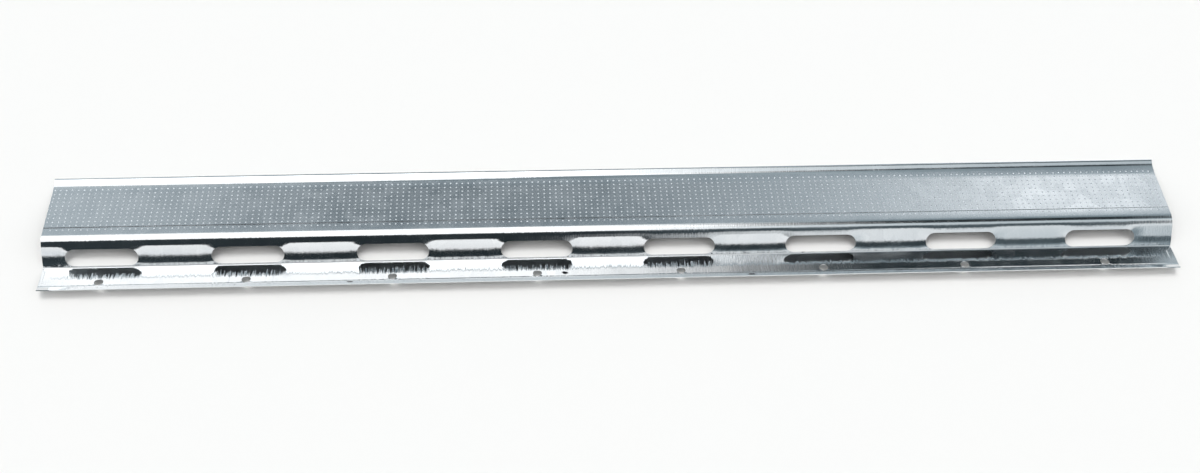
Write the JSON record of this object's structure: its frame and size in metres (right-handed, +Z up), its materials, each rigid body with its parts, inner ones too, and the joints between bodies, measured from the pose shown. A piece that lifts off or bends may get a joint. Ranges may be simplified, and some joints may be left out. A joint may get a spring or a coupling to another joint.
{
  "type": "resilient channel",
  "caption": "Length of single-leg resilient channel: pierced mounting flange, slotted sloping web and knurled board face, rolled from thin galvanised strip.",
  "frame": {"origin": "bottom centre of the box round the channel as it rests on a level floor", "axes": "+X along the length, +Y from the mounting flange back to the board face, +Z up"},
  "size_m": [0.604, 0.0702, 0.0106],
  "materials": {
    "galvanised_steel": "bright galvanised, lightly spangled"
  },
  "bodies": {
    "root": {"resilient_channel": "galvanised_steel"}
  },
  "joints": []
}
